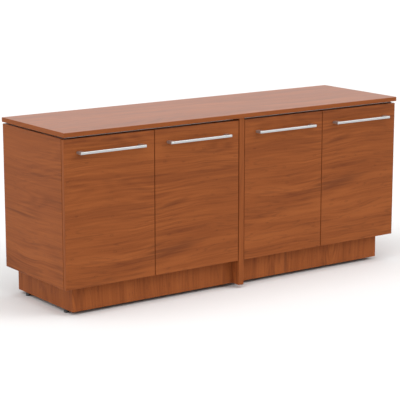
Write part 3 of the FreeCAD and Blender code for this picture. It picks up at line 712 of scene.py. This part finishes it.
def makeFastener(look, length):
    # along Z: the head above level 0 with its recess, the shank below
    head, shank, height = look["head"] / 2, look["shank"] / 2, look["height"]
    dome = [(head * wide, height * tall) for wide, tall in fastenerHead["dome"]]
    mesh = turnProfile([*dome, (head, fastenerHead["rim"]), (head * fastenerHead["under"], 0),
                        (shank, 0), (shank, look["tip"] - length),
                        (shank * fastenerHead["point"], -length), (0, -length)],
                       fastenerHead["steps"])
    rim = [edge for edge in mesh.edges if edge.is_boundary]
    outline = recessOutline(head * fastenerHead["recess"], look["sides"], height)
    verts = [mesh.verts.new(spot) for spot in outline]
    inner = [mesh.edges.new(pair) for pair in zip(verts, verts[1:] + verts[:1])]
    bmesh.ops.bridge_loops(mesh, edges=rim + inner)
    pit = bmesh.ops.extrude_edge_only(mesh, edges=inner)["geom"]
    floor = [item for item in pit if isinstance(item, bmesh.types.BMVert)]
    brim = [item for item in pit if isinstance(item, bmesh.types.BMEdge) and item.is_boundary]
    narrow = fastenerHead["recessFloor"]
    bmesh.ops.translate(mesh, vec=(0, 0, -height * fastenerHead["recessDepth"]), verts=floor)
    bmesh.ops.scale(mesh, vec=(narrow, narrow, 1), verts=floor)
    bmesh.ops.contextual_create(mesh, geom=brim)
    bmesh.ops.recalc_face_normals(mesh, faces=mesh.faces)
    return mesh


def turnFasteners(low, high, kind, axis, ways):
    # one fastener for each way, its head at that end of the solid
    look = fasteners[kind]
    length = (high[axis] - low[axis]) / len(ways) - look["height"]
    made = []
    for sign in ways:
        place = (low + high) / 2
        place[axis] = (high if sign > 0 else low)[axis] - sign * look["height"]
        way = [0, 0, 0]
        way[axis] = sign
        made.append((makeFastener(look, length), place, way))
    return made


def replaceFasteners(node, kind, axis, *ways):
    replaceSolids(node, "_recessed", "zincPlate",
                  lambda low, high: turnFasteners(low, high, kind, axes[axis], ways))


replaceFasteners("worktop_screws", "wood", "z", -1)
replaceFasteners("plinth_screws", "wood", "z", 1)
replaceFasteners("gable_bolts", "bolt", "x", -1, 1)
for door in doors:
    replaceFasteners(door + "_pull_screws", "machine", "y", 1)


# the small screws of the hinges and backs

hingeScrews = {
    "cupIn": 0.0075,            # from the flange's far edge
    "cupSpread": 0.0225,        # above and below its middle
    "cupBite": 0.011,
    "plateLine": 0.016,         # from the front end of the plate's boss
    "plateSpread": 0.016,
    "plateBite": 0.012,
    "armIn": (0.014, 0.034),    # from the arm's back end
    "armBite": 0.004,
}
backScrews = {"edgeIn": 0.0045, "boardIn": 0.0095, "cornerIn": 0.035, "rows": 5, "columns": 6,
              "bite": 0.016}


def addScrews(name, node, kind, length, spots, finish):
    # screws that ride with a node: each spot is the place under the head, and its way
    mesh = bmesh.new()
    item = makeFastener(fasteners[kind], length)
    for place, way in spots:
        addCopy(mesh, item, place, way)
    item.free()
    finishPiece(name, mesh, node, [surfaces[finish]])


def screwCups(door):
    node = door + "_hinge_cups"
    turn = hingeTurn[door]
    spots = []
    for low, high in findIslands(node):
        x = (high.x if turn > 0 else low.x) - turn * hingeScrews["cupIn"]
        for rise in (-hingeScrews["cupSpread"], hingeScrews["cupSpread"]):
            spots.append(((x, high.y, (low.z + high.z) / 2 + rise), (0, 1, 0)))
    addScrews(door + "_cup_screws", node, "hinge", hingeScrews["cupBite"], spots, "hingeNickel")


def screwPlates():
    spots = []
    for low, high in findIslands("hinge_plates"):
        onEnd, way = faceIn(low, high)
        wing = hinge["outerWing"] if onEnd else hinge["innerWing"]
        x = (low.x if way > 0 else high.x) + way * wing
        for rise in (-hingeScrews["plateSpread"], hingeScrews["plateSpread"]):
            spots.append(((x, low.y + hingeScrews["plateLine"], (low.z + high.z) / 2 + rise),
                          (way, 0, 0)))
    addScrews("hinge_plate_screws", "hinge_plates", "hinge", hingeScrews["plateBite"], spots,
              "hingeNickel")


def screwArms():
    spots = []
    for low, high in findIslands("hinge_arms"):
        way = faceIn(low, high)[1]
        x = high.x if way > 0 else low.x
        for back in hingeScrews["armIn"]:
            spots.append(((x, high.y - back, (low.z + high.z) / 2), (way, 0, 0)))
    addScrews("hinge_arm_screws", "hinge_arms", "hinge", hingeScrews["armBite"], spots,
              "hingeNickel")


def spaceOut(low, high, count):
    return [low + (high - low) * index / (count - 1) for index in range(count)]


def screwBack(side):
    # rows up both sides of the back, and rows along its top and bottom
    node = side + "_back_panel"
    low, high = [Vector(corner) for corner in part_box(node)]
    edgeIn, boardIn, cornerIn = [backScrews[key] for key in ("edgeIn", "boardIn", "cornerIn")]
    spots = [(x, z) for x in (low.x + edgeIn, high.x - edgeIn)
             for z in spaceOut(low.z + cornerIn, high.z - cornerIn, backScrews["rows"])]
    spots += [(x, z) for z in (low.z + boardIn, high.z - boardIn)
              for x in spaceOut(low.x + cornerIn, high.x - cornerIn, backScrews["columns"])]
    addScrews(node + "_screws", "plinth_screws", "back", backScrews["bite"],
              [((x, high.y, z), (0, 1, 0)) for x, z in spots], "zincPlate")


for door in doors:
    screwCups(door)
screwPlates()
screwArms()
screwBack("left")
screwBack("right")
print("screws and bolts made")


# studio

studio = {
    "floorColour": (0.86, 0.86, 0.86, 1),
    "floorRoughness": 0.9,
    "floorReach": 60.0,
    "skyLight": 0.30,
    # each lamp: its strength, then its spread, tilt from overhead and turn in degrees
    "topLamp": (1.95, 80, 14, -10),
    "frontLamp": (1.03, 30, 62, 44),
    "sideLamp": (1.62, 100, 72, -88),
}


def makeFloor():
    mesh = bmesh.new()
    bmesh.ops.create_grid(mesh, x_segments=1, y_segments=1, size=studio["floorReach"])
    data = bpy.data.meshes.new("floor")
    mesh.to_mesh(data)
    mesh.free()
    white = newMaterial("floorWhite", {"Base Color": studio["floorColour"],
                                       "Roughness": studio["floorRoughness"],
                                       "Specular IOR Level": 0.0})[0]
    data.materials.append(white)
    floor = bpy.data.objects.new("floor", data)
    scene.collection.objects.link(floor)


def makeWorld():
    # the world lights the object evenly, and the camera, mirrors and glass see it white
    world = bpy.data.worlds.new("studioWorld")
    world.use_nodes = True
    tree = world.node_tree
    scene.world = world
    light = tree.nodes["Background"]
    light.inputs["Color"].default_value = (1, 1, 1, 1)
    path = addNode(tree, "LightPath")
    seen = calc(tree, "MAXIMUM", path.outputs["Is Camera Ray"], path.outputs["Is Glossy Ray"])
    seen = calc(tree, "MAXIMUM", seen, path.outputs["Is Transmission Ray"])
    strength = calc(tree, "MULTIPLY_ADD", seen, 1 - studio["skyLight"], studio["skyLight"])
    tree.links.new(strength, light.inputs["Strength"])


def addSun(name, strength, spread, tilt, turn):
    lamp = bpy.data.lights.new(name, "SUN")
    lamp.energy = strength
    lamp.angle = radians(spread)
    sun = bpy.data.objects.new(name, lamp)
    sun.rotation_euler = (radians(tilt), 0, radians(turn))
    scene.collection.objects.link(sun)


makeFloor()
makeWorld()
for lamp in ("topLamp", "frontLamp", "sideLamp"):
    addSun(lamp, *studio[lamp])


# camera

view = {
    "turn": -35.54,                  # degrees, from straight on towards the left end
    "tilt": 11.85,                   # degrees below level
    "aim": (-0.051, 0.0, 0.3495),    # metres
    "away": 6.597,
    "lens": 138.07,                  # millimetres
    "sensor": 36,
}


def makeCamera():
    data = bpy.data.cameras.new("camera")
    data.lens = view["lens"]
    data.sensor_width = view["sensor"]
    camera = bpy.data.objects.new("camera", data)
    turn = Matrix.Rotation(radians(view["turn"]), 4, "Z")
    tilt = Matrix.Rotation(radians(90 - view["tilt"]), 4, "X")
    camera.matrix_world = (Matrix.Translation(view["aim"]) @ turn @ tilt
                           @ Matrix.Translation((0, 0, view["away"])))
    scene.collection.objects.link(camera)
    scene.camera = camera


makeCamera()
scene.view_settings.view_transform = "Standard"
print("studio and camera ready")
